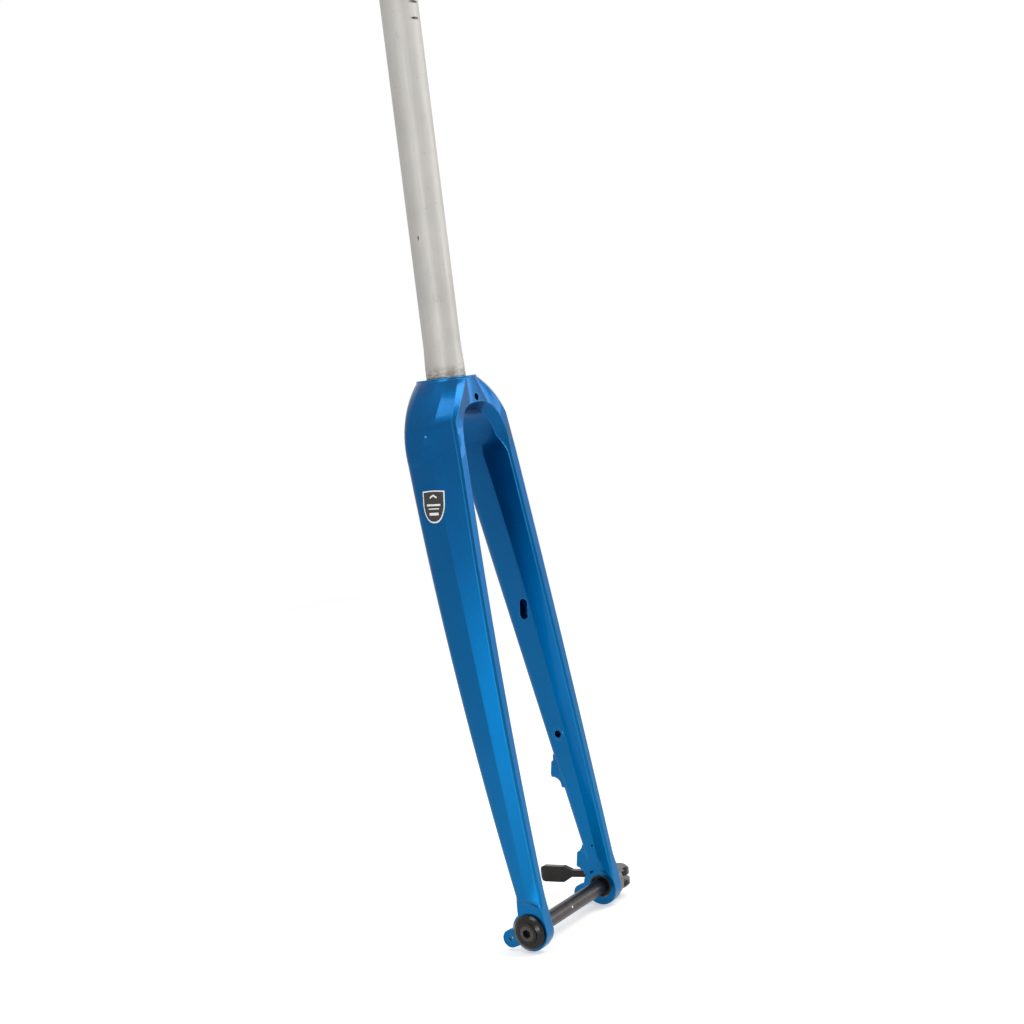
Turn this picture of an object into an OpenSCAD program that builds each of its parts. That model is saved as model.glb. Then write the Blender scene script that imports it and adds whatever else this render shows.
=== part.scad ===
// Rigid disc-brake fork for a gravel or cyclocross bicycle.
// Z runs up the steerer axis, -Y is the riding direction and +X is the rider's left (the disc side).
// The origin is on the steerer axis at the top face of the crown, where the lower headset race sits.

/* [Geometry] */
// Straight distance from the crown's top face to the axle centre
axle_to_crown = 413; // [400:1:425]
// Forward offset of the axle from the steerer axis
rake = 51; // [46:1:56]
// Distance between the two faces that clamp the hub
hub_width = 100; // [98:0.5:104]

/* [Steerer] */
// Length of steerer above the crown's top face
steerer_len = 300; // [160:5:350]
// Outer diameter of the steerer
steerer_d = 28.6; // [28:0.1:29.6]
// Wall thickness of the steerer
steerer_wall = 2.3; // [1.6:0.1:3.5]
// How far the steerer is bonded down into the crown
steerer_socket = 22; // [12:1:23]
// Diameter of the seat for the headset's crown race
race_d = 30; // [30:0.1:31]
// Height of the straight part of the crown race seat
race_h = 8; // [5:0.5:12]
// Length over which the steerer tapers from the seat to its outer diameter
race_taper = 16; // [8:1:24]

/* [Crown] */
// Diameter of the flat land on top of the crown
land_d = 46; // [44:0.5:50]
// Width of the crown across its shoulders
shoulder_w = 82; // [78:0.5:88]
// Depth of the shoulder crease below the top face
shoulder_drop = 31; // [28:0.5:36]
// Distance of the crown's front face from the steerer axis at the shoulders
crown_front = 27; // [25:0.5:30]
// Distance of the crown's rear face from the steerer axis
crown_rear = 18; // [16.5:0.5:21]
// How far the shoulders bulge out at the front between the crease and the land
front_bulge = 2.5; // [0:0.25:4]
// Depth of the arch's roof below the top face
arch_drop = 26; // [25:0.5:32]
// Width of the bevel round the front edge of the arch
arch_bevel = 6; // [2:0.25:7]
// Diameter of the hole through the crown for a mudguard or lamp bolt
crown_hole_d = 5.5; // [4.5:0.1:6.5]
// Depth of that hole below the top face
crown_hole_drop = 16.5; // [12:0.5:18]

/* [Legs] */
// Depth below the top face at which the crown ends and the legs begin
leg_root_drop = 62; // [58:1:70]
// Height above the axle at which the leg ends and the dropout begins
leg_tip_rise = 26; // [22:0.5:32]
// Distance between the two leg centres at the crown
root_spread = 69; // [66:0.5:76]
// How far outside the hub's face a leg is centred above the dropout
tip_offset = 2.5; // [1.5:0.25:4]
// Outward bow of each leg at half length
spread_bow = 3.1; // [0:0.1:5]
// Thickness of a leg across the bicycle at the crown
root_thick = 20; // [17:0.5:22]
// Thickness of a leg across the bicycle above the dropout
tip_thick = 13.5; // [11:0.5:15]
// Extra thickness of a leg at half length
thick_bow = 1.5; // [0:0.25:3]
// Depth of a leg from its front edge to its rear face at the crown
root_depth = 47.5; // [42:0.5:50]
// Depth of a leg above the dropout
tip_depth = 21; // [19:0.5:25]
// Loss of depth of a leg at half length, against a straight taper
depth_bow = 0.9; // [-2:0.1:2]
// Camber of a leg's outer side
side_camber = 0.4; // [0.1:0.1:1]
// Width of the flat nose at the front of a leg, at the crown
root_nose = 7; // [5:0.5:9]
// Width of the flat nose at the front of a leg, above the dropout
tip_nose = 5; // [4:0.5:6]
// Corner radius at the rear of a leg, at the crown
root_round = 7; // [4:0.5:8]
// Corner radius at the rear of a leg, above the dropout
tip_round = 4; // [2:0.5:5]

/* [Dropouts] */
// Outer radius of a dropout round the axle
dropout_r = 14.8; // [13.8:0.1:16]
// Radius to which the leg narrows where it runs into the dropout
dropout_neck_r = 12; // [11:0.5:13.5]
// How far forward of the axle that neck is centred
dropout_neck_lead = 3; // [0:0.5:4]
// Thickness of a dropout at the axle
dropout_t = 7.3; // [6.5:0.1:9]
// How far the leg stands proud of the dropout's outer face above that step
outer_lip = 1.8; // [1:0.1:2.5]
// How far the leg stands proud of the hub's face above its seat
inner_lip = 2; // [1:0.25:3]
// Radius of the round seat for the hub's end cap
hub_seat_r = 14; // [12.5:0.25:14.5]
// Distance from the leg's end down to the round step above the dropout
step_margin = 1.2; // [0.6:0.1:4]
// Height of the slope between the leg's side and the dropout's outer face
step_slope = 4; // [1:0.5:6]
// Radius of the tab round a mudguard eyelet
eyelet_r = 6.75; // [5:0.25:7]
// Thickness of an eyelet tab
eyelet_t = 5; // [4:0.25:6]
// Tapping diameter of a mudguard eyelet for an M5 screw
eyelet_hole_d = 4.2; // [3.8:0.1:4.4]
// Distance of an eyelet behind the axle
eyelet_back = 18.5; // [16.5:0.5:20]
// Distance of an eyelet below the axle
eyelet_drop = 7; // [4:0.5:9]

/* [Caliper mount] */
// Distance between the two caliper bolts
caliper_pitch = 74.2; // [73:0.2:76]
// Height of the lower caliper bolt above the axle
caliper_rise = 22.5; // [20:0.5:24]
// Angle between the line of the caliper bolts and the steerer
caliper_lean = 10.5; // [9:0.25:12]
// Half the height of a caliper boss
boss_r = 6.7; // [6.2:0.1:7.5]
// Rounding of the shoulders of a caliper boss
boss_round = 2; // [0.5:0.25:2.25]
// Rounding at the foot of a caliper boss
boss_flare = 4.5; // [2:0.5:5]
// Width of a caliper boss across the leg
boss_width = 11.6; // [11:0.1:12.2]
// Distance from the leg's rear edge to the face of a caliper boss
boss_reach = 7; // [5:0.5:10]
// Outer diameter of a threaded insert
insert_d = 9; // [8:0.25:10]
// Length of a threaded insert
insert_len = 15; // [10:0.5:17]
// Tapping diameter of the caliper inserts for an M6 bolt
insert_hole_d = 5; // [4.8:0.1:5.2]

/* [Hose route] */
// Length of the hose entry slot in the left leg
slot_len = 16.5; // [14:0.5:20]
// Width of the hose entry slot
slot_w = 7; // [6:0.25:8]
// Depth of the slot's centre below the crown's top face
slot_drop = 185; // [175:1:195]
// Depth of the hose exit below the crown's top face
exit_drop = 285.5; // [278:0.5:290]
// Diameter of the hose exit
exit_d = 5.8; // [5.4:0.1:6.4]
// Radius of the raised rim round the hose exit
exit_rim_r = 4.8; // [4.3:0.1:5.5]
// Diameter of the channel that carries the hose inside the leg
channel_d = 6.4; // [5.8:0.1:7]

// Diameter of the small vent hole above the left dropout
vent_d = 2; // [1.5:0.1:3]
// Height of the vent hole above the axle
vent_rise = 34; // [30:1:40]

/* [Axle and nut] */
// Diameter of the axle
axle_d = 12; // [11.9:0.05:12.2]
// Radial running clearance round the axle
axle_play = 0.05; // [0.02:0.01:0.1]
// Outer diameter of the flanged nut
nut_d = 26.4; // [24:0.2:28]
// Thickness of the nut's flange at its rim
nut_flange = 3.5; // [3:0.25:5]
// Height of the nut's domed face above the flange
nut_dome = 1.8; // [0.5:0.1:2.5]
// Outer diameter of the nut's barrel
nut_barrel_d = 15.6; // [14.6:0.2:16.4]
// Key size of the hexagon socket in the axle's end
hex_key = 6; // [5:0.5:7]
// Outer diameter of the left dropout's bush
bush_d = 18; // [17:0.25:20]
// Thickness of the flat washer against the left dropout
flat_washer_t = 1.2; // [0.8:0.1:2]
// Diameter of that flat washer
flat_washer_d = 22; // [20:0.5:25]
// Thickness of the hollow cam washer at its rim
washer_t = 7.7; // [6.5:0.1:9]
// Diameter of the cam washer
washer_d = 25; // [23:0.5:27]
// How deep the cam sits in the hollow of its washer
cam_seat = 1.7; // [1:0.1:2.5]

/* [Lever] */
// Radius of the cam head
cam_r = 11; // [10:0.25:11.5]
// How far the pivot is off the centre of the cam
cam_throw = 1; // [0.5:0.1:1.4]
// Diameter of the cam pin
pin_d = 6; // [5.5:0.1:6.5]
// Radial running clearance round the cam pin
pin_play = 0.04; // [0.02:0.01:0.08]
// Thickness of one fork ear of the lever
ear_t = 6; // [5.4:0.1:7]
// Chamfer round the outer edges of the ears
ear_chamfer = 2; // [0.5:0.25:2.5]
// Thickness of the axle's eye between the ears
eye_t = 3.6; // [3.2:0.1:4.4]
// Side clearance between the eye and each ear
eye_play = 0.25; // [0.15:0.05:0.4]
// Length of the lever from the pivot to its tip
lever_len = 67; // [64:1:78]
// Length of the lever's paddle
paddle_len = 27; // [24:1:36]
// Height of the lever's paddle
paddle_h = 13; // [12:0.5:16]
// Thickness of the lever's paddle
paddle_t = 4.6; // [4:0.2:6]
// Height of the lever's neck
neck_h = 5.6; // [5:0.2:7]
// Angle by which the closed lever hangs below the horizontal
lever_droop = -0.5; // [-4:0.5:8]

/* [Hidden] */
smooth = 96;
hull_smooth = 32;

axle_drop = sqrt(axle_to_crown * axle_to_crown - rake * rake);
tip_drop = axle_drop - leg_tip_rise;
hub_face = hub_width / 2;
dropout_out = hub_face + dropout_t;
tip_spread = hub_width + 2 * tip_offset;
land_r = land_d / 2;
step_r = leg_tip_rise - step_margin;
leg_rings = 16;
crown_rings = 20;
arch_power = 2.6;
tip_overlap = 0.5;
cut_run = 1;
eyelet_inset = 1;

// Values that run from the crown to the dropout with a bow in the middle
function mix(a, b, t) = a + (b - a) * t;
function bowed(a, b, bow, u) = mix(a, b, u) + bow * 4 * u * (1 - u);
function leg_mid(u) = bowed(root_spread, tip_spread, 2 * spread_bow, u) / 2;
function leg_thick(u) = bowed(root_thick, tip_thick, thick_bow, u);
function leg_depth(u) = bowed(root_depth, tip_depth, depth_bow, u);
function leg_nose(u) = bowed(root_nose, tip_nose, 0, u);
function leg_round(u) = bowed(root_round, tip_round, 0, u);
root_lead = 3.5;
tip_lead = 12;
root_front = crown_front + root_lead;
tip_front = rake + tip_lead;
front_bow = -1.05;
function leg_front(u) = -bowed(root_front, tip_front, front_bow, u);
function leg_rear(u) = leg_front(u) + leg_depth(u);
// The crease between the flat side and the bevelled front, as a share of the leg's depth
root_crease = 0.46;
tip_crease = 0.45;
crease_bow = -0.085;
function leg_crease(u) = leg_front(u) + leg_depth(u) * bowed(root_crease, tip_crease, crease_bow, u);
function leg_u(z) = (-z - leg_root_drop) / (tip_drop - leg_root_drop);

// One cross-section of a leg, from the outer side round the nose and the inner side to the rear
side_steps = [0, 1 / 3, 2 / 3];
corner_turns = [22.5, 45, 67.5, 90];
nose_cut = [2.2, 1.6];
function leg_outline(u) =
    let (m = leg_mid(u), h = leg_thick(u) / 2, n = leg_nose(u) / 2, r = leg_round(u),
        f = leg_front(u), b = leg_rear(u), c = leg_crease(u))
    concat(
        [for (k = side_steps) [m + h + side_camber * 4 * k * (1 - k), mix(b - r, c, k)]],
        [[m + h, c], [m + n + nose_cut[0], f + nose_cut[1]], [m + n, f]],
        [[m - n, f], [m - n - nose_cut[0], f + nose_cut[1]], [m - h, c], [m - h, b - r]],
        [for (a = corner_turns) [m - h + r * (1 - cos(a)), b - r + r * sin(a)]],
        [for (k = [3:-1:0]) let (a = corner_turns[k]) [m + h - r * (1 - cos(a)), b - r + r * sin(a)]]);
crease_at = 3;
nose_at = 5;
arch_first = 6;
arch_last = 13;
rear_at = 14;
function leg_ring(u, z) = [for (p = leg_outline(u)) [p[0], p[1], z]];

// The outer skin of the crown runs from the leg past the shoulder to the round land.
// It folds sharply at the front of the shoulder and rolls over it at the side and rear.
shoulder_at = 0.4;
land_at = 0.8;
land_turns = [20, 0, -20, -38, -57, -75, 0, 0, 0, 0, 0, 0, 0, 0, 72, 60, 47, 33];
land_mids = [6, 1, -4, -9, -15, 0, 0, 0, 0, 0, 0, 0, 0, 0, 0, 19, 16, 11];
crease_lead = 12;
shoulder_round = root_round + 1;
shoulder_bevel = 3;
shoulder_lead = 0.4;
shoulder_dip = 0.5;
shoulder_side_rise = 2;
shoulder_rear_rise = 3;
function shoulder_point(i) =
    let (w = shoulder_w / 2, z = -shoulder_drop, b = crown_rear, r = shoulder_round)
    i < crease_at ?
        [w, mix(b - r, -crease_lead, side_steps[i]), z + shoulder_side_rise * (1 - side_steps[i])] :
    i == crease_at ? [w, -crease_lead, z] :
    i == crease_at + 1 ? [w - shoulder_bevel, -crown_front + nose_cut[1], z] :
    i == nose_at ? [w - 2 * shoulder_bevel, -crown_front - shoulder_lead, z - shoulder_dip] :
    let (a = corner_turns[arch_last + 4 - i])
    [w - r * (1 - cos(a)), b - r + r * sin(a), z + mix(shoulder_side_rise, shoulder_rear_rise, a / 90)];
land_step = 0.6;
skin_r = land_r - land_step;
function on_land(a) = [skin_r * cos(a), skin_r * sin(a), -land_step];
bulge_tilt = 41.4;
function rolled(a, b, c, s) = a * pow(1 - s, 2) + (2 * b - (a + c) / 2) * 2 * s * (1 - s) + c * s * s;
function skin_point(i, t) =
    let (foot = leg_ring(0, -leg_root_drop)[i], top = on_land(land_turns[i]), knee = shoulder_point(i),
        hard = i >= crease_at && i <= nose_at,
        s = t <= shoulder_at ? t / shoulder_at / 2 : (1 + (t - shoulder_at) / (land_at - shoulder_at)) / 2)
    t <= land_at && !hard ? rolled(foot, knee, top, s) :
    t <= shoulder_at ? mix(foot, knee, 2 * s) :
    t <= land_at ? mix(knee, top, 2 * s - 1) + front_bulge * 4 * (2 * s - 1) * (2 - 2 * s)
        * [cos(bulge_tilt) * cos(land_turns[i]), cos(bulge_tilt) * sin(land_turns[i]), sin(bulge_tilt)] :
    let (q = (t - land_at) / (1 - land_at))
    i == nose_at ? on_land(mix(land_turns[i], -90, q)) :
    i == rear_at ? on_land(mix(land_turns[i], 90, q)) :
    mix(top, [0, land_mids[i], -land_step], q);

// The inner skin of the crown is the arch over the wheel, with a bevel round its front edge
arch_lip = 0.4;
arch_inset = 1;
arch_swell = 1.1;
arch_rear_by = 1 / 2;
arch_front_by = 2 / 3;
arch_open_by = 1 / 5;
function arch_xz(half_w, rise, t) =
    [half_w * pow(cos(90 * t), 2 / arch_power), -leg_root_drop + rise * pow(sin(90 * t), 2 / arch_power)];
function arch_point(i, t) =
    let (m = leg_mid(0), h = leg_thick(0) / 2, n = leg_nose(0) / 2, r = leg_round(0),
        roof = leg_root_drop - arch_drop, rear = mix(leg_rear(0), crown_rear, min(1, t / arch_rear_by)),
        front = mix(leg_front(0), arch_inset - crown_front, min(1, t / arch_front_by)),
        open = min(1, t / arch_open_by))
    i == arch_first ? let (q = arch_xz(m - n, roof + arch_bevel, t)) [q[0], front, q[1]] :
    i == arch_first + 1 ?
        let (q = arch_xz(mix(m - n - nose_cut[0], m - h + arch_lip, open), roof + arch_lip, t))
        [q[0], front + mix(nose_cut[1], arch_swell * arch_bevel, open), q[1]] :
    i == arch_first + 2 ?
        let (q = arch_xz(m - h, roof, t)) [q[0], mix(leg_crease(0), -crease_lead, t), q[1]] :
    i == arch_first + 3 ? let (q = arch_xz(m - h, roof, t)) [q[0], rear - r, q[1]] :
    let (a = corner_turns[i - arch_first - 4],
        q = arch_xz(m - h + r * (1 - cos(a)), roof + r * (1 - cos(a)), t))
        [q[0], rear - r + r * sin(a), q[1]];
function crown_ring(t) =
    [for (i = [0:17]) (i >= arch_first && i <= arch_last) ? arch_point(i, t) : skin_point(i, t)];

function half_rings() = concat(
    [for (k = [leg_rings:-1:0]) let (u = k / leg_rings) leg_ring(u, mix(-leg_root_drop, -tip_drop, u))],
    [for (k = [1:crown_rings]) crown_ring(k / crown_rings)]);
function flip(ring) = [for (p = ring) [-p[0], p[1], p[2]]];

module crown_and_legs() {
    left = half_rings();
    n = len(left);
    rings = concat(left, [for (k = [n - 2:-1:0]) flip(left[k])]);
    m = len(left[0]);
    points = [for (ring = rings, p = ring) p];
    last = (len(rings) - 1) * m;
    faces = concat(
        [[for (i = [m - 1:-1:0]) i]],
        [for (k = [0:len(rings) - 2], i = [0:m - 1], half = [0, 1])
            let (a = k * m + i, b = k * m + (i + 1) % m)
            half == 0 ? [a, b, a + m] : [b, b + m, a + m]],
        [[for (i = [0:m - 1]) last + i]]);
    polyhedron(points, faces, convexity = 6);
}

// Turns a shape that is drawn along Z so that it lies along X, pointing to the left of the bicycle
module across() {
    rotate([0, 90, 0]) children();
}
module at_axle(x = 0) {
    translate([x, -rake, -axle_drop]) children();
}
module both_sides() {
    children();
    mirror([1, 0, 0]) children();
}

// The leg runs into a dropout that stands proud of both faces; the seats are cut into it later
module dropout() {
    hull() {
        translate([0, 0, -tip_drop - tip_overlap])
            linear_extrude(height = tip_overlap) polygon(leg_outline(1));
        translate([0, -dropout_neck_lead, 0]) at_axle(hub_face - inner_lip) across()
            cylinder(h = inner_lip + dropout_t + outer_lip, r = dropout_neck_r, $fn = hull_smooth);
    }
    at_axle(hub_face) across() cylinder(h = dropout_t, r = dropout_r, $fn = smooth);
    hull() {
        translate([0, eyelet_back, -eyelet_drop])
            at_axle(hub_face + eyelet_inset) across() cylinder(h = eyelet_t, r = eyelet_r, $fn = hull_smooth);
        at_axle(hub_face + eyelet_inset) across() cylinder(h = eyelet_t, r = eyelet_r, $fn = hull_smooth);
    }
}

// The caliper bolts stand square to the caliper's lean
lower_bolt_z = -axle_drop + caliper_rise;
function bolt_z(k) = lower_bolt_z + k * caliper_pitch * cos(caliper_lean);
upper_face_y = leg_rear(leg_u(bolt_z(1))) + boss_reach;
function bolt_y(k) = upper_face_y - (1 - k) * caliper_pitch * sin(caliper_lean);
bolt_x = tip_spread / 2;
module at_bolt(k) {
    translate([bolt_x, bolt_y(k), bolt_z(k)]) rotate([-90 + caliper_lean, 0, 0]) children();
}
// A boss is a rib on the rear of the leg, with rounded shoulders that flare out at its foot
boss_cover = 4;
boss_depth = insert_len + boss_cover;
module boss_side() polygon(concat(
    [[-boss_depth, -boss_r - boss_flare], [-boss_reach, -boss_r - boss_flare]],
    [for (a = [75:-15:15]) [-boss_reach + boss_flare * cos(a), -boss_r - boss_flare + boss_flare * sin(a)]],
    [for (a = [0:15:90]) [-boss_round * (1 - sin(a)), -boss_r + boss_round * (1 - cos(a))]],
    [for (a = [90:-15:0]) [-boss_round * (1 - sin(a)), boss_r - boss_round * (1 - cos(a))]],
    [for (a = [15:15:75]) [-boss_reach + boss_flare * cos(a), boss_r + boss_flare - boss_flare * sin(a)]],
    [[-boss_reach, boss_r + boss_flare], [-boss_depth, boss_r + boss_flare]]));
module caliper_boss(k) {
    at_bolt(k) rotate([0, -90, 0]) linear_extrude(height = boss_width, center = true) boss_side();
}

function inner_face(u) = leg_mid(u) - leg_thick(u) / 2;
slot_u = leg_u(-slot_drop);
exit_u = leg_u(-exit_drop);
slot_back = 0.26;
exit_back = 0.32;
slot_at = [leg_mid(slot_u), mix(leg_crease(slot_u), leg_rear(slot_u), slot_back), -slot_drop];
exit_at = [leg_mid(exit_u), mix(leg_crease(exit_u), leg_rear(exit_u), exit_back), -exit_drop];
leg_lean = atan((slot_at[1] - exit_at[1]) / (exit_drop - slot_drop));
module hose_slot() {
    depth = leg_thick(slot_u);
    translate([slot_at[0] + cut_run, slot_at[1], slot_at[2]]) rotate([leg_lean, 0, 0])
        rotate([0, -90, 0]) linear_extrude(height = depth) polygon([
            for (s = [1, -1], a = [-90:15:90])
                s * [(slot_len - slot_w + slot_w * cos(a)) / 2, slot_w * sin(a) / 2]]);
}
module hose_channel() {
    run = exit_at - slot_at;
    translate(slot_at) rotate([0, acos(run[2] / norm(run)), atan2(run[1], run[0])])
        cylinder(h = norm(run), d = channel_d, $fn = smooth);
}
module hose_exit(d, reach) {
    translate([exit_at[0] - leg_thick(exit_u) / 2 - reach, exit_at[1], exit_at[2]])
        across() cylinder(h = leg_thick(exit_u) / 2 + reach, d = d, $fn = smooth);
}

exit_rim_h = 0.8;
vent_depth = 4;
module vent() {
    u = leg_u(vent_rise - axle_drop);
    translate([inner_face(u) - cut_run, leg_crease(u) + vent_d, vent_rise - axle_drop])
        across() cylinder(h = vent_depth + cut_run, d = vent_d, $fn = smooth);
}

module fork_body() color("royalblue") difference() {
    union() {
        crown_and_legs();
        translate([0, 0, -3 * land_step]) cylinder(h = 3 * land_step, r = land_r, $fn = smooth);
        both_sides() dropout();
        caliper_boss(0);
        caliper_boss(1);
        hose_exit(2 * exit_rim_r, exit_rim_h);
    }
    translate([0, 0, -steerer_socket]) cylinder(h = steerer_socket + cut_run, d = steerer_d, $fn = smooth);
    translate([0, 0, -crown_hole_drop]) rotate([90, 0, 0])
        cylinder(h = 4 * land_r, d = crown_hole_d, center = true, $fn = smooth);
    both_sides() at_axle(dropout_out) across() rotate_extrude($fn = smooth) polygon([
        [0, 0], [step_r - step_slope, 0], [step_r, outer_lip], [step_r, 4 * outer_lip], [0, 4 * outer_lip]]);
    both_sides() at_axle(hub_face - 4 * inner_lip) across()
        cylinder(h = 4 * inner_lip, r = hub_seat_r, $fn = smooth);
    at_axle(hub_face - cut_run) across() cylinder(h = dropout_t + 2 * cut_run, d = bush_d, $fn = smooth);
    at_axle(-dropout_out - cut_run) across()
        cylinder(h = dropout_t + 2 * cut_run, d = nut_barrel_d, $fn = smooth);
    both_sides() translate([0, eyelet_back, -eyelet_drop]) at_axle(hub_face + eyelet_inset - cut_run) across()
        cylinder(h = eyelet_t + 2 * cut_run, d = eyelet_hole_d, $fn = smooth);
    for (k = [0, 1])
        at_bolt(k) translate([0, 0, -insert_len])
            cylinder(h = insert_len + cut_run, d = insert_d, $fn = smooth);
    hose_slot();
    hose_channel();
    hose_exit(exit_d, exit_rim_h + cut_run);
    vent();
}

steerer_chamfer = 0.5;
module steerer_tube() color("silver") difference() {
    r = steerer_d / 2;
    rotate_extrude($fn = smooth) polygon([
        [r - steerer_wall, -steerer_socket], [r, -steerer_socket], [r, 0], [race_d / 2, 0],
        [race_d / 2, race_h], [r, race_h + race_taper],
        [r, steerer_len - steerer_chamfer], [r - steerer_chamfer, steerer_len],
        [r - steerer_wall, steerer_len]]);
    translate([0, 0, -crown_hole_drop]) rotate([90, 0, 0])
        cylinder(h = 2 * steerer_d, d = crown_hole_d, center = true, $fn = smooth);
}

insert_floor = 1;
module caliper_insert(k) {
    at_bolt(k) difference() {
        translate([0, 0, -insert_len]) cylinder(h = insert_len, d = insert_d, $fn = smooth);
        translate([0, 0, -insert_len + insert_floor])
            cylinder(h = insert_len, d = insert_hole_d, $fn = smooth);
    }
}
module caliper_insert_upper() color("silver") caliper_insert(1);
module caliper_insert_lower() color("silver") caliper_insert(0);

axle_bore_r = axle_d / 2 + axle_play;
bush_step_h = 1.2;
bush_step_r = axle_bore_r + 1.6;
module dropout_bush() color("dimgray") at_axle(hub_face) across()
    rotate_extrude($fn = smooth) polygon([
        [axle_bore_r, bush_step_h], [bush_step_r, bush_step_h], [bush_step_r, 0], [bush_d / 2, 0],
        [bush_d / 2, dropout_t], [axle_bore_r, dropout_t]]);

nut_chamfer = 1.6;
nut_groove = 0.6;
nut_ring_r = axle_d / 2 + 2.4;
nut_face = nut_flange + nut_dome;
nut_dome_edge = nut_flange + 0.8 * nut_dome;
module axle_nut() color("dimgray") at_axle(-dropout_out) across()
    rotate_extrude($fn = smooth) polygon([
        [axle_bore_r, -nut_face], [nut_ring_r, -nut_face], [nut_ring_r, nut_groove - nut_face],
        [nut_ring_r + nut_groove, nut_groove - nut_face], [nut_ring_r + nut_groove, -nut_dome_edge],
        [nut_d / 2 - nut_chamfer, -nut_flange], [nut_d / 2, nut_chamfer - nut_flange], [nut_d / 2, 0],
        [nut_barrel_d / 2, 0], [nut_barrel_d / 2, dropout_t], [axle_bore_r, dropout_t]]);

module flat_washer() color("silver") at_axle(dropout_out) across() difference() {
    cylinder(h = flat_washer_t, d = flat_washer_d, $fn = smooth);
    translate([0, 0, -cut_run]) cylinder(h = flat_washer_t + 2 * cut_run, r = axle_bore_r, $fn = smooth);
}

// Everything that turns with the axle hangs at the lever's droop
module on_axle() {
    at_axle() rotate([-lever_droop, 0, 0]) children();
}

// The lever's cam bears in the hollow of its washer
washer_in = dropout_out + flat_washer_t;
cam_gap = 0.3;
axle_sink = 0.3;
hex_depth = 5;
pivot_x = washer_in + washer_t - cam_seat + cam_r + cam_throw;
module cam_washer() color("gray") on_axle() difference() {
    translate([washer_in, 0, 0]) across() cylinder(h = washer_t, d = washer_d, $fn = smooth);
    translate([washer_in - cut_run, 0, 0]) across()
        cylinder(h = washer_t + 2 * cut_run, r = axle_bore_r, $fn = smooth);
    translate([pivot_x - cam_throw, 0, 0])
        cylinder(h = washer_d + 2 * cut_run, r = cam_r + cam_gap, center = true, $fn = smooth);
}
// The axle's round shaft ends inside the cam washer, and a flat eye runs on from it to the pin
axle_left = axle_sink - dropout_out - nut_face;
shaft_end = washer_in + washer_t - cam_seat - 1;
eye_d = axle_d - 1;
module thru_axle() color("dimgray") on_axle() difference() {
    union() {
        translate([axle_left, 0, 0]) across()
            cylinder(h = shaft_end - axle_left, d = axle_d, $fn = smooth);
        intersection() {
            translate([dropout_out, -eye_d / 2, -eye_t / 2])
                cube([pivot_x - dropout_out + eye_d, eye_d, eye_t]);
            union() {
                translate([dropout_out, 0, 0]) across()
                    cylinder(h = pivot_x - dropout_out, d = eye_d, $fn = smooth);
                translate([pivot_x, 0, 0]) cylinder(h = eye_t, d = eye_d, center = true, $fn = smooth);
            }
        }
    }
    translate([axle_left - cut_run, 0, 0]) across()
        cylinder(h = hex_depth + cut_run, d = hex_key / cos(30), $fn = 6);
    translate([pivot_x, 0, 0]) cylinder(h = 2 * eye_t, d = pin_d, center = true, $fn = smooth);
}

head_h = 2 * ear_t + eye_t + 2 * eye_play;
module cam_pin() color("silver") on_axle() translate([pivot_x, 0, 0])
    cylinder(h = head_h, d = pin_d, center = true, $fn = smooth);

// The closed lever points to the rear; its paddle curves in towards the leg.
// Each station has its distance from the pivot, the middle of the lever there and half its thickness.
neck_end = lever_len - paddle_len;
paddle_rise = 8;
paddle_set = 3.6;
tip_run = 2;
tip_thin = 1;
tip_set = paddle_set + 1;
lever_stations = [[0, 4.2, 4.2], [15, 3.9, 2.6], [neck_end, -0.2, 2.2],
    [neck_end + paddle_rise, -paddle_set, paddle_t / 2], [lever_len - tip_run, -tip_set, paddle_t / 2],
    [lever_len, -tip_set, paddle_t / 2 - tip_thin]];
function turned_back(list) = [for (k = [len(list) - 1:-1:0]) list[k]];
module lever_plan() polygon(concat(
    [for (p = lever_stations) [p[1] + p[2], p[0]]],
    [for (p = turned_back(lever_stations)) [p[1] - p[2], p[0]]]));
// The lever seen from its outer side: a straight neck that widens into a paddle with cut corners
paddle_corner = 3.5;
corner_bite = 0.3 * paddle_corner;
paddle_half = paddle_h / 2;
half_side = [[0, neck_h / 2], [neck_end, neck_h / 2], [neck_end + 0.75 * paddle_rise, paddle_half],
    [lever_len - paddle_corner, paddle_half], [lever_len - corner_bite, paddle_half - corner_bite],
    [lever_len, paddle_half - paddle_corner]];
module lever_side() polygon(concat(half_side, [for (p = turned_back(half_side)) [p[0], -p[1]]]));
module ears() rotate_extrude($fn = smooth) polygon([
    [0, -head_h / 2], [cam_r - ear_chamfer, -head_h / 2], [cam_r, -head_h / 2 + ear_chamfer],
    [cam_r, head_h / 2 - ear_chamfer], [cam_r - ear_chamfer, head_h / 2], [0, head_h / 2]]);
// The slot between the ears is open wherever the axle's eye swings through it
ear_slot_back = axle_d / 2 + 1.5;
module cam_lever() color("black") on_axle() translate([pivot_x, 0, 0]) difference() {
    union() {
        translate([-cam_throw, 0, 0]) ears();
        intersection() {
            linear_extrude(height = 2 * paddle_h, center = true) lever_plan();
            rotate([90, 0, 90]) linear_extrude(height = 4 * cam_r, center = true) lever_side();
        }
    }
    translate([-2 * cam_r, -2 * cam_r, -eye_t / 2 - eye_play])
        cube([4 * cam_r, 2 * cam_r + ear_slot_back, eye_t + 2 * eye_play]);
    cylinder(h = 2 * head_h, r = pin_d / 2 + pin_play, center = true, $fn = smooth);
}

fork_body();
steerer_tube();
caliper_insert_upper();
caliper_insert_lower();
dropout_bush();
axle_nut();
flat_washer();
cam_washer();
thru_axle();
cam_pin();
cam_lever();
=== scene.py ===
import bmesh
import bpy
import math
from mathutils import Matrix, Vector


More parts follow.
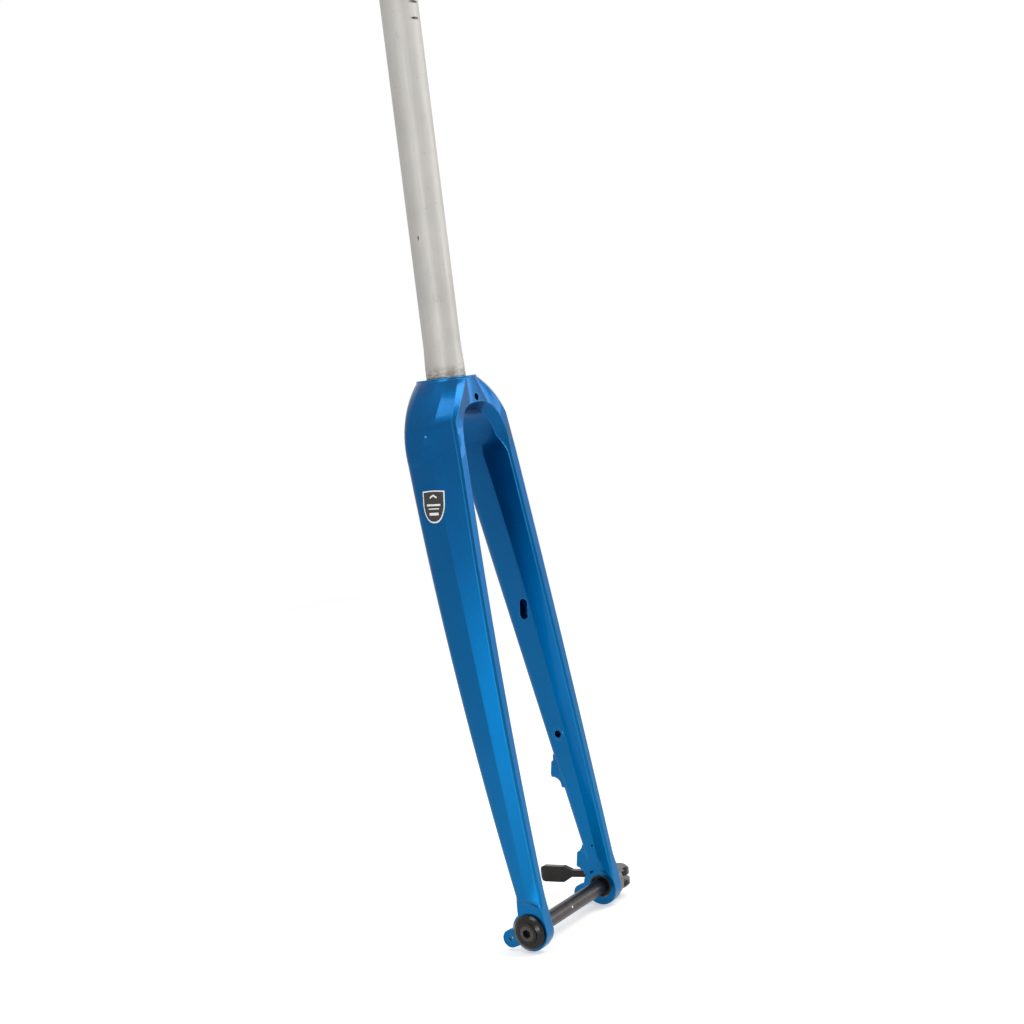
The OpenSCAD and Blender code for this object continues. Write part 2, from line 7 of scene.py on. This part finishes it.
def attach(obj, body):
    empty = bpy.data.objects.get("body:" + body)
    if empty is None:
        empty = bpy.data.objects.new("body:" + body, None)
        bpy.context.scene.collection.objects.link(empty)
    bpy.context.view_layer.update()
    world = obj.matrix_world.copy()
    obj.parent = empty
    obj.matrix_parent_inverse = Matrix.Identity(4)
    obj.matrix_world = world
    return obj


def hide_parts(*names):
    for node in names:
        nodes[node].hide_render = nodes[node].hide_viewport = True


# Camera: turned like the photograph, then everything else.
AZ, EL, ROLL = math.radians(-57.6), math.radians(4.87), math.radians(-7.05)
back = Vector((math.sin(AZ) * math.cos(EL), -math.cos(AZ) * math.cos(EL), math.sin(EL)))
right = Vector((math.cos(AZ), math.sin(AZ), 0))
up = back.cross(right)
c, s = math.cos(ROLL), math.sin(ROLL)
cam_right, cam_up = c * right + s * up, c * up - s * right
cam_data = bpy.data.cameras.new("camera")
cam_data.sensor_width = 36
cam_data.lens = 1776.32 / 1024 * 36
cam_data.clip_start, cam_data.clip_end = 0.05, 60
cam_data.shift_x = -0.6 / 1024
camera = bpy.data.objects.new("camera", cam_data)
place = cam_right * 0.05032 - cam_up * 0.10151 + back * 1.34607
camera.matrix_world = Matrix((
    (cam_right.x, cam_up.x, back.x, place.x),
    (cam_right.y, cam_up.y, back.y, place.y),
    (cam_right.z, cam_up.z, back.z, place.z),
    (0, 0, 0, 1)))
scene = bpy.context.scene
scene.collection.objects.link(camera)
scene.camera = camera
scene.view_settings.view_transform = "Standard"

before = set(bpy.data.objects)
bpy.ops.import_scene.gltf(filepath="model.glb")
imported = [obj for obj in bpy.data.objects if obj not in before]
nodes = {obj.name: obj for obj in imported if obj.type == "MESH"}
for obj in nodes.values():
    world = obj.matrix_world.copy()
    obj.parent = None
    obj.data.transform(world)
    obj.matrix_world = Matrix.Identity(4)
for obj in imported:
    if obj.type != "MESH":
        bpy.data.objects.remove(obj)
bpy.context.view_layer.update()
RAKE = 0.051
AXLE_Z = -0.409839


# ---- materials -------------------------------------------------------------

class Tree:
    """A node material, with short calls for the nodes that the finishes use."""

    def __init__(self, name):
        self.mat = bpy.data.materials.new(name)
        self.mat.use_nodes = True
        self.tree = self.mat.node_tree
        self.tree.nodes.clear()
        self.out = self.tree.nodes.new("ShaderNodeOutputMaterial")
        self.coord = self.tree.nodes.new("ShaderNodeTexCoord").outputs["Object"]

    def put(self, socket, value):
        if isinstance(value, bpy.types.NodeSocket):
            self.tree.links.new(value, socket)
        elif hasattr(socket, "default_value"):
            colour = isinstance(value, tuple) and len(socket.default_value) == 4
            socket.default_value = (*value, 1) if colour else value

    def node(self, kind, out=0, **inputs):
        n = self.tree.nodes.new(kind)
        if "operation" in inputs:
            n.operation = inputs.pop("operation")
        for key, value in inputs.items():
            self.put(n.inputs[int(key[1:])] if key[1:].isdigit() else n.inputs[key.replace("_", " ")], value)
        return n.outputs[out]

    def math(self, op, a, b=0.0, c=0.0):
        return self.node("ShaderNodeMath", operation=op, i0=a, i1=b, i2=c)

    def scaled(self, x, y, z, at=(0, 0, 0)):
        return self.node("ShaderNodeMapping", i0=self.coord, i1=at, i3=(x, y, z))

    def noise(self, scale, detail=2.0, rough=0.5, vector=None):
        return self.node("ShaderNodeTexNoise", Vector=vector or self.coord,
                         Scale=scale, Detail=detail, Roughness=rough)

    def ramp(self, value, a, b, lo=0.0, hi=1.0):
        return self.node("ShaderNodeMapRange", i0=value, i1=a, i2=b, i3=lo, i4=hi)

    def mix(self, f, a, b):
        n = self.tree.nodes.new("ShaderNodeMix")
        n.data_type = "RGBA"
        self.put(n.inputs[0], f)
        self.put(n.inputs[6], a)
        self.put(n.inputs[7], b)
        return n.outputs[2]

    def spot(self, centre, size, soft=0.25):
        """1 inside an ellipsoid round a point of the object, and 0 outside."""
        p = self.node("ShaderNodeMapping", i0=self.coord,
                      i1=tuple(-centre[k] / size[k] for k in range(3)), i3=tuple(1 / v for v in size))
        d = self.node("ShaderNodeVectorMath", out=1, operation="LENGTH", i0=p)
        return self.ramp(d, 1.0, 1.0 - soft)

    def bump(self, height, strength, distance):
        return self.node("ShaderNodeBump", Strength=strength, Distance=distance, Height=height)

    def shade(self, **inputs):
        n = self.tree.nodes.new("ShaderNodeBsdfPrincipled")
        for key, value in inputs.items():
            self.put(n.inputs[key.replace("_", " ")], value)
        self.tree.links.new(n.outputs[0], self.out.inputs[0])
        return self.mat


# Where the painted highlight at the near leg's crown knee sits, in metres.
KNEE_GLINT_AT = (-0.04385, -0.00484, -0.04093)
# Where the painted highlight on the axle sits, in metres.
AXLE_GLINT_AT = (-0.00393, -0.05682, -0.4084)
BUSH_TEETH = 34.0


def blue_paint():
    t = Tree("blue_paint")
    flake = t.node("ShaderNodeTexVoronoi", out=1, Vector=t.coord, Scale=2600.0)
    sparkle = t.node("ShaderNodeSeparateColor", i0=flake)
    cloud = t.noise(9.0, 3.0)
    z = t.node("ShaderNodeSeparateXYZ", out=2, i0=t.coord)
    # Painted shade and light: deep is the darker blue at the top and the second colour the lighter blue low down.
    # They are mixed by height so the legs read lighter towards the dropouts, as the light falls; the cloud adds
    # random tone to each.
    deep = t.mix(t.ramp(cloud, 0.35, 0.65), (0.0, 0.062, 0.19), (0.0, 0.07, 0.21))
    lit_low_blue = t.mix(t.ramp(cloud, 0.35, 0.65), (0.0, 0.105, 0.28), (0.0, 0.118, 0.31))
    base = t.mix(t.ramp(z, -0.05, -0.37), deep, lit_low_blue)
    base = t.mix(t.ramp(sparkle, 0.8, 1.0, 0.0, 0.22), base, (0.0, 0.2, 0.45))
    edge = t.node("ShaderNodeBevel", Radius=0.0011)
    flat = t.tree.nodes.new("ShaderNodeNewGeometry").outputs["Normal"]
    turn = t.node("ShaderNodeVectorMath", out=1, operation="DOT_PRODUCT", i0=edge, i1=flat)
    # Painted highlight: along rounded edges, where the bevel normal turns away from the face normal, the base is
    # lightened to a pale blue. This stands in for lines of light on the edges.
    base = t.mix(t.ramp(turn, 0.998, 0.96, 0.0, 0.5), base, (0.02, 0.26, 0.52))
    # Painted highlight: a small pale blue spot on the near leg at the crown's knee stands in for a glint.
    knee_glint = t.math("MULTIPLY", t.spot(KNEE_GLINT_AT, (0.0009, 0.0009, 0.0009)), 0.6)
    base = t.mix(knee_glint, base, (0.2, 0.4, 0.55))
    peel = t.node("ShaderNodeBump", Strength=0.04, Distance=0.0003, Height=t.noise(260.0, 1.0), Normal=edge)
    return t.shade(Base_Color=base, Metallic=1.0, Roughness=t.ramp(cloud, 0.3, 0.7, 0.3, 0.36), Normal=edge,
                   Coat_Weight=0.15, Coat_Roughness=0.06, Coat_Normal=peel)


def bare_aluminium():
    t = Tree("bare_aluminium")
    drawn = t.noise(60.0, 4.0, 0.6, t.scaled(8, 8, 0.35))
    blotch = t.noise(22.0, 4.0, 0.6)
    pits = t.ramp(t.noise(420.0, 2.0), 0.68, 0.74)
    z = t.node("ShaderNodeSeparateXYZ", out=2, i0=t.coord)
    base = t.mix(t.ramp(blotch, 0.3, 0.7), (0.4, 0.388, 0.366), (0.47, 0.458, 0.434))
    base = t.mix(t.ramp(drawn, 0.35, 0.7, 0.0, 0.3), base, (0.36, 0.35, 0.33))
    base = t.mix(t.math("MULTIPLY", pits, 0.35), base, (0.2, 0.19, 0.18))
    runs = t.ramp(t.noise(140.0, 3.0, vector=t.scaled(1, 1, 2.4)), 0.42, 0.6, 0, 0.7)
    stain = t.math("MULTIPLY", t.ramp(z, 0.011, 0.003), runs)
    base = t.mix(stain, base, (0.2, 0.165, 0.12))
    foot = t.math("MULTIPLY", t.ramp(z, 0.0013, 0.0007), t.ramp(t.noise(300.0, 2.0), 0.4, 0.6, 0.3, 0.9))
    base = t.mix(foot, base, (0.03, 0.12, 0.16))
    speck = t.ramp(t.noise(900.0, 2.0), 0.5, 0.58)
    scratch = t.ramp(t.noise(900.0, 2.0), 0.36, 0.44)
    for centre, size, mask, colour, amount in (
            ((-0.00164, -0.01421, 0.2786), (0.0062, 0.004, 0.0013), scratch, (0.02, 0.02, 0.02), 1.0),
            ((-0.0022, -0.01413, 0.2664), (0.0052, 0.004, 0.0013), scratch, (0.02, 0.02, 0.02), 1.0),
            ((-0.0143, -0.0003, 0.1058), (0.0012, 0.0011, 0.0021), scratch, (0.05, 0.05, 0.05), 0.9),
            ((-0.0137, -0.0036, 0.2545), (0.0012, 0.0024, 0.003), speck, (0.2, 0.19, 0.18), 0.4),
            ((-0.0109, -0.0093, 0.0598), (0.0055, 0.0055, 0.0062), speck, (0.25, 0.22, 0.2), 0.35)):
        base = t.mix(t.math("MULTIPLY", t.math("MULTIPLY", t.spot(centre, size, 0.5), mask), amount), base, colour)
    return t.shade(Base_Color=base, Metallic=0.55, Roughness=t.ramp(drawn, 0.3, 0.7, 0.5, 0.62),
                   Normal=t.bump(drawn, 0.12, 0.0004))


def black_anodised():
    t = Tree("black_anodised")
    grain = t.noise(900.0, 2.0)
    cloud = t.noise(40.0, 3.0)
    base = t.mix(t.ramp(cloud, 0.3, 0.7), (0.012, 0.0115, 0.011), (0.024, 0.022, 0.021))
    return t.shade(Base_Color=base, Metallic=0.9, Roughness=t.ramp(grain, 0.3, 0.7, 0.18, 0.28),
                   Normal=t.bump(grain, 0.06, 0.0002), Coat_Weight=0.15, Coat_Roughness=0.1)


def knurled_black():
    """The bush: black, with fine teeth round the axle, and a painted highlight of warm light on the tooth crests.
    """
    t = Tree("knurled_black")
    axes = t.tree.nodes.new("ShaderNodeSeparateXYZ")
    t.put(axes.inputs[0], t.coord)
    across = t.math("ADD", axes.outputs[1], RAKE)
    above = t.math("SUBTRACT", axes.outputs[2], AXLE_Z)
    teeth = t.math("SINE", t.math("MULTIPLY", t.math("ARCTAN2", above, across), BUSH_TEETH))
    radius = t.math("SQRT", t.math("ADD", t.math("MULTIPLY", across, across), t.math("MULTIPLY", above, above)))
    band = t.math("MULTIPLY", t.ramp(radius, 0.0079, 0.0083), t.ramp(radius, 0.0112, 0.0106))
    uneven = t.ramp(t.noise(150.0, 2.0), 0.35, 0.65, 0.2, 0.9)
    # Painted highlight: in the band round the bore, the tooth crests are coloured a warm light, standing in for
    # glints on the teeth.
    tooth_highlight = t.math("MULTIPLY", t.math("MULTIPLY", t.ramp(teeth, 0.1, 0.9), band), uneven)
    grain = t.noise(900.0, 2.0)
    base = t.mix(t.ramp(grain, 0.3, 0.7), (0.011, 0.0105, 0.01), (0.02, 0.019, 0.018))
    base = t.mix(tooth_highlight, base, (0.16, 0.12, 0.075))
    return t.shade(Base_Color=base, Metallic=0.9, Roughness=t.ramp(grain, 0.3, 0.7, 0.22, 0.34),
                   Normal=t.bump(t.math("MULTIPLY", teeth, band), 0.5, 0.0003))


def dark_axle():
    t = Tree("dark_axle")
    turned = t.noise(30.0, 3.0, 0.6, t.scaled(60, 2, 2))
    base = t.mix(t.ramp(turned, 0.3, 0.7), (0.045, 0.042, 0.039), (0.076, 0.071, 0.067))
    # Painted highlight: a small near-white spot on the shaft, with a lighter grey halo round it, stands in for a
    # glint.
    glint_halo = t.math("MULTIPLY", t.spot(AXLE_GLINT_AT, (0.0011, 0.0011, 0.0011), 0.15), 0.85)
    base = t.mix(glint_halo, base, (0.3, 0.28, 0.26))
    base = t.mix(t.spot(AXLE_GLINT_AT, (0.0006, 0.0006, 0.0006), 0.3), base, (0.75, 0.72, 0.7))
    return t.shade(Base_Color=base, Metallic=0.9, Roughness=t.ramp(turned, 0.3, 0.7, 0.28, 0.4),
                   Normal=t.bump(turned, 0.08, 0.0002))


def grey_washer():
    t = Tree("grey_washer")
    grain = t.noise(500.0, 3.0)
    base = t.mix(t.ramp(grain, 0.3, 0.7), (0.1, 0.097, 0.094), (0.17, 0.165, 0.16))
    return t.shade(Base_Color=base, Metallic=0.9, Roughness=t.ramp(grain, 0.3, 0.7, 0.3, 0.45),
                   Normal=t.bump(grain, 0.1, 0.0002))


def enamel(name, dark, light, rough=0.25):
    t = Tree(name)
    grain = t.noise(700.0, 2.0)
    return t.shade(Base_Color=t.mix(t.ramp(grain, 0.3, 0.7), dark, light),
                   Roughness=t.ramp(grain, 0.3, 0.7, rough, rough + 0.1), Normal=t.bump(grain, 0.04, 0.0001))


PAINT, ALU, BLACK, DARK, GREY = blue_paint(), bare_aluminium(), black_anodised(), dark_axle(), grey_washer()
KNURLED = knurled_black()
FINISH = {
    "fork_body": PAINT, "steerer_tube": ALU, "caliper_insert_upper": ALU, "caliper_insert_lower": ALU,
    "dropout_bush": KNURLED, "axle_nut": BLACK, "flat_washer": GREY, "cam_washer": GREY,
    "thru_axle": DARK, "cam_pin": GREY, "cam_lever": BLACK}
for name, obj in nodes.items():
    obj.data.materials.clear()
    obj.data.materials.append(FINISH[name])


# ---- the painted fork, with its small facets blended ---------------------------

# Each caliper boss in (y, z), in mm: its rear face, its ends, and where the leg's rear side meets the fillets.
BOSSES = {
    "upper": {"ends": (-308.3, -321.2), "rear": (-23.4, -21.4), "top": (-302.6, -25.6), "low": (-329.8, -31.0)},
    "lower": {"ends": (-381.2, -394.2), "rear": (-36.9, -35.0), "top": (-376.2, -40.4), "low": (-399.6, -39.7)}}
BOSS_IN, BOSS_OUT = 46.7, 58.3


def fillet(boss, end, z):
    """How far back the paint reaches beside a boss's end, at height z: a hollow curve from the leg to the boss."""
    far, y0 = boss[("top", "low")[end]]
    near, y1 = boss["ends"][end], boss["rear"][end]
    k = min(max((z - far) / (near - far), 0.0), 1.0)
    return y0 + (y1 - y0) * (1 - math.sqrt(1 - k * k))


def tamed(co):
    """The place of a corner of the skin, with the steps beside the bosses drawn in to the fillets."""
    x, y, z = (1000 * v for v in co)
    if BOSS_IN - 0.3 < x < BOSS_OUT + 0.3:
        for boss in BOSSES.values():
            for end in (0, 1):
                far, near = boss[("top", "low")[end]][0], boss["ends"][end]
                if min(far, near) - 0.3 < z < max(far, near) + (-0.02 if end else 0.02):
                    y = min(y, fillet(boss, end, z))
    return Vector((x, y, z)) / 1000


def blended(node, name, crease=7.0, corner=31.0, narrow=0.0036):
    """A copy of a node whose shallow edges and narrow corner strips shade smoothly, with the real creases kept."""
    bm = bmesh.new()
    bm.from_mesh(nodes[node].data)
    bmesh.ops.remove_doubles(bm, verts=bm.verts, dist=2e-6)
    before = {f: f.normal.copy() for f in bm.faces}
    for v in bm.verts:
        v.co = tamed(v.co)
    bm.normal_update()
    bmesh.ops.reverse_faces(bm, faces=[f for f, n in before.items() if n.dot(f.normal) < -0.1])
    for f in bm.faces:
        f.smooth = True
    for e in bm.edges:
        if len(e.link_faces) != 2:
            continue
        turn = math.degrees(e.calc_face_angle(0))
        width = max(f.calc_area() for f in e.link_faces) / max(e.calc_length(), 1e-6)
        e.smooth = turn < crease or (turn < corner and width < narrow)
    mesh = bpy.data.meshes.new(name)
    bm.to_mesh(mesh)
    bm.free()
    obj = bpy.data.objects.new(name, mesh)
    scene.collection.objects.link(obj)
    even = obj.modifiers.new("even", "WEIGHTED_NORMAL")
    even.keep_sharp = True
    mesh.materials.append(PAINT)
    return obj


skin = blended("fork_body", "fork_skin")
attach(skin, "fork")
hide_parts("fork_body")


def prism(outline, layers):
    """A solid from an outline in (y, z), in mm: each layer is its x and how far its outline is drawn in."""
    mid = Vector((sum(p[0] for p in outline), sum(p[1] for p in outline))) / len(outline)
    verts, faces, n = [], [], len(outline)
    for x, inset in layers:
        for p in outline:
            d = Vector(p) - mid
            q = mid + d * max(1 - inset / max(d.length, 1e-6), 0.1)
            verts.append((x / 1000, q.x / 1000, q.y / 1000))
    for k in range(len(layers) - 1):
        for i in range(n):
            j = (i + 1) % n
            faces.append((k * n + i, k * n + j, (k + 1) * n + j, (k + 1) * n + i))
    faces.append(tuple(range(n)))
    faces.append(tuple((len(layers) - 1) * n + i for i in range(n)))
    return verts, faces


def boss_blend(name, boss, cheek):
    """The smooth fillets above and below a boss, and the cheek that carries the leg's inner side over it."""
    verts, faces = [], []

    def add(part):
        base = len(verts)
        verts.extend(part[0])
        faces.extend(tuple(base + i for i in f) for f in part[1])

    curves = []
    for end in (0, 1):
        far, y0 = boss[("top", "low")[end]]
        near, y1 = boss["ends"][end], boss["rear"][end]
        way = 1 if far < near else -1
        curve = [(fillet(boss, end, far + (near - far) * k / 16), far + (near - far) * k / 16) for k in range(17)]
        curves.append(curve)
        add(prism(curve + [(y1, near + way * 1.5), (y0 - 5, near + way * 1.5), (y0 - 5, far)],
                  [(BOSS_IN + 0.02, 0), (BOSS_OUT - 0.02, 0)]))
    if cheek:
        rim = curves[0] + curves[1][::-1]
        deep = [(curves[1][0][0] - 7, curves[1][0][1]), (curves[0][0][0] - 7, curves[0][0][1])]
        rounded = [(BOSS_IN + 0.05, 0.05), (cheek + 1.6, 0.1), (cheek + 0.7, 0.5),
                   (cheek + 0.2, 1.2), (cheek, 2.4)]
        add(prism(rim + deep, rounded))
    mesh = bpy.data.meshes.new(name)
    mesh.from_pydata(verts, [], faces)
    bm = bmesh.new()
    bm.from_mesh(mesh)
    bmesh.ops.recalc_face_normals(bm, faces=bm.faces)
    for e in bm.edges:
        e.smooth = len(e.link_faces) == 2 and e.calc_face_angle(0) < math.radians(42)
    for f in bm.faces:
        f.smooth = True
    bm.to_mesh(mesh)
    bm.free()
    mesh.materials.append(PAINT)
    obj = bpy.data.objects.new(name, mesh)
    scene.collection.objects.link(obj)
    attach(obj, "fork")
    return obj


boss_blend("boss_blend_upper", BOSSES["upper"], 43.6)
boss_blend("boss_blend_lower", BOSSES["lower"], None)


def lathed(name, centre, profile, material, sides=20):
    """A small turned piece standing on a face that looks along -x: the profile is (radius, height) in mm."""
    verts, faces = [], []
    for r, h in profile:
        for i in range(sides):
            a = 2 * math.pi * i / sides
            y, z = centre[1] + r * math.cos(a), centre[2] + r * math.sin(a)
            verts.append(((centre[0] - h) / 1000, y / 1000, z / 1000))
    for k in range(len(profile) - 1):
        for i in range(sides):
            j = (i + 1) % sides
            faces.append((k * sides + i, k * sides + j, (k + 1) * sides + j, (k + 1) * sides + i))
    faces.append(tuple(range(sides - 1, -1, -1)))
    faces.append(tuple((len(profile) - 1) * sides + i for i in range(sides)))
    mesh = bpy.data.meshes.new(name)
    mesh.from_pydata(verts, [], faces)
    for f in mesh.polygons:
        f.use_smooth = True
    mesh.materials.append(material)
    obj = bpy.data.objects.new(name, mesh)
    scene.collection.objects.link(obj)
    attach(obj, "fork")
    return obj


lathed("dropout_stud", (50.0, -41.78, -405.16), [(0.75, -0.3), (0.75, 0.12), (0.6, 0.32), (0.3, 0.42)], GREY)


# ---- a plain shield badge on the right leg -------------------------------------

def leg_surface(y, z, lift):
    """The point of the right leg's outer side at y and z, lifted off the paint."""
    hit, where, normal, _ = skin.ray_cast(Vector((-0.2, y, z)), Vector((1, 0, 0)))
    return where + normal * lift


BADGE_SCALE = 0.86


def shield(t, grow):
    """The outline of a heater shield, round its middle: t runs from 0 to 1 and grow moves it outwards."""
    w, top, tip = 0.0098 * BADGE_SCALE + grow, 0.0122 * BADGE_SCALE + grow, 0.0128 * BADGE_SCALE + 1.3 * grow
    drop = 0.011 * BADGE_SCALE
    if t < 0.25:
        return (-w + 2 * w * t / 0.25, top + 0.0006 * math.sin(math.pi * t / 0.25))
    if t < 0.4:
        return (w, top - (t - 0.25) / 0.15 * drop)
    if t <= 0.625:
        q = (t - 0.4) / 0.225
        a = q * math.pi / 2
        return (w * math.cos(a) ** 0.8, top - drop - (top + tip - drop) * math.sin(a) ** 1.15)
    x, v = shield(1.25 - t, grow)
    return (-x, v)


BADGE_Y, BADGE_Z = -0.0069, -0.0926
LEAN = math.radians(1.5)


def on_leg(x, v, lift):
    y = BADGE_Y - x * math.cos(LEAN) - v * math.sin(LEAN)
    return leg_surface(y, BADGE_Z + v * math.cos(LEAN) - x * math.sin(LEAN), lift)


def plate(name, rings, materials, body, slots):
    """A thin raised plate: each ring is a closed outline, and each gap between rings has its own finish."""
    verts, faces, which = [], [], []
    n = len(rings[0])
    for ring in rings:
        verts += [tuple(p) for p in ring]
    for k in range(len(rings) - 1):
        for i in range(n):
            j = (i + 1) % n
            faces.append((k * n + i, k * n + j, (k + 1) * n + j, (k + 1) * n + i))
            which.append(slots[k])
    faces.append(tuple((len(rings) - 1) * n + i for i in range(n)))
    which.append(slots[-1])
    mesh = bpy.data.meshes.new(name)
    mesh.from_pydata(verts, [], faces)
    for m in materials:
        mesh.materials.append(m)
    for f, w in zip(mesh.polygons, which):
        f.material_index = w
    obj = bpy.data.objects.new(name, mesh)
    scene.collection.objects.link(obj)
    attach(obj, body)
    return obj


WHITE = enamel("badge_white", (0.72, 0.72, 0.7), (0.8, 0.8, 0.78))
FIELD = enamel("badge_black", (0.012, 0.012, 0.012), (0.02, 0.02, 0.02))
STEPS = 64


def scaled_shield(t, k):
    x, v = shield(t, -0.0004)
    return (x * k, v * k)


badge = plate("badge", [
    [on_leg(*shield(k / STEPS, 0.0009), -0.0001) for k in range(STEPS)],
    [on_leg(*shield(k / STEPS, 0.0008), 0.00025) for k in range(STEPS)],
    [on_leg(*shield(k / STEPS, 0.0), 0.0003) for k in range(STEPS)]]
    + [[on_leg(*scaled_shield(k / STEPS, 1 - 0.12 * r), 0.0002) for k in range(STEPS)] for r in range(9)],
    [WHITE, FIELD], "fork", [0, 0] + [1] * 10)


def chevron(name, v, half, depth, thick):
    """One bent stripe across the badge."""
    outer, inner = [], []
    xs = [half * (k / 6 - 1) for k in range(13)]
    line = [(x, v + depth * (abs(x) / half - 1)) for x in xs]
    outline = line + [(x, y - thick) for x, y in reversed(line)]
    low = [on_leg(x * BADGE_SCALE, y * BADGE_SCALE, 0.0002) for x, y in outline]
    high = [on_leg(x * BADGE_SCALE, y * BADGE_SCALE, 0.00042) for x, y in outline]
    return plate(name, [low, high], [WHITE], "fork", [0, 0])


chevron("badge_stripe_1", 0.0085, 0.0034, -0.002, 0.0016)
chevron("badge_stripe_2", 0.0022, 0.0068, 0.0, 0.0016)
chevron("badge_stripe_3", -0.0014, 0.0052, 0.0, 0.0009)
chevron("badge_stripe_4", -0.0052, 0.0046, 0.0, 0.0022)


# ---- floor, background and light ---------------------------------------------

def floor_material():
    t = Tree("pale_floor")
    path = t.tree.nodes.new("ShaderNodeLightPath")
    seen = t.math("MAXIMUM", path.outputs["Is Camera Ray"], path.outputs["Is Glossy Ray"])
    seen = t.math("MAXIMUM", seen, path.outputs["Is Transmission Ray"])
    t.shade(Base_Color=(0.8, 0.8, 0.8), Roughness=0.9, Emission_Color=(1, 1, 1),
            Emission_Strength=t.math("MULTIPLY", seen, 0.45))
    return t.mat


def quad(name, corners):
    mesh = bpy.data.meshes.new(name)
    mesh.from_pydata(corners, [], [(0, 1, 2, 3)])
    obj = bpy.data.objects.new(name, mesh)
    scene.collection.objects.link(obj)
    return obj


FLOOR = -0.4262
floor = quad("floor", [(-1.7, -1.9, FLOOR), (1.7, -1.9, FLOOR), (1.7, 1.5, FLOOR), (-1.7, 1.5, FLOOR)])
floor.data.materials.append(floor_material())

world = bpy.data.worlds.new("studio")
scene.world = world
world.use_nodes = True
wt = world.node_tree
wt.nodes.clear()
path = wt.nodes.new("ShaderNodeLightPath")
seen = wt.nodes.new("ShaderNodeMath")
seen.operation = "MAXIMUM"
wt.links.new(path.outputs["Is Camera Ray"], seen.inputs[0])
wt.links.new(path.outputs["Is Glossy Ray"], seen.inputs[1])
seen2 = wt.nodes.new("ShaderNodeMath")
seen2.operation = "MAXIMUM"
wt.links.new(seen.outputs[0], seen2.inputs[0])
wt.links.new(path.outputs["Is Transmission Ray"], seen2.inputs[1])
strength = wt.nodes.new("ShaderNodeMapRange")
strength.inputs[3].default_value = 0.45
strength.inputs[4].default_value = 1.0
wt.links.new(seen2.outputs[0], strength.inputs[0])
background = wt.nodes.new("ShaderNodeBackground")
background.inputs[0].default_value = (1, 1, 1, 1)
wt.links.new(strength.outputs[0], background.inputs[1])
world_out = wt.nodes.new("ShaderNodeOutputWorld")
wt.links.new(background.outputs[0], world_out.inputs[0])


def softbox(name, place, aim, size, power):
    light = bpy.data.lights.new(name, "AREA")
    light.shape = "RECTANGLE"
    light.size, light.size_y = size
    light.energy = power
    obj = bpy.data.objects.new(name, light)
    obj.location = place
    obj.rotation_euler = (Vector(aim) - Vector(place)).to_track_quat("-Z", "Y").to_euler()
    scene.collection.objects.link(obj)
    return obj


softbox("key", (0.72, -1.4, 1.85), (0, 0, -0.03), (1.1, 1.1), 28)
softbox("high", (-1.35, -0.15, 1.9), (0, 0, -0.05), (1.2, 1.3), 20)
softbox("side", (-2.1, -0.75, -0.2), (0, 0, -0.25), (0.9, 0.42), 9)
softbox("front", (1.5, -1.6, 0.35), (0, 0, 0), (0.7, 1.0), 11)
softbox("edge", (-1.75, -0.93, -0.15), (0, 0, -0.2), (0.3, 0.5), 3)
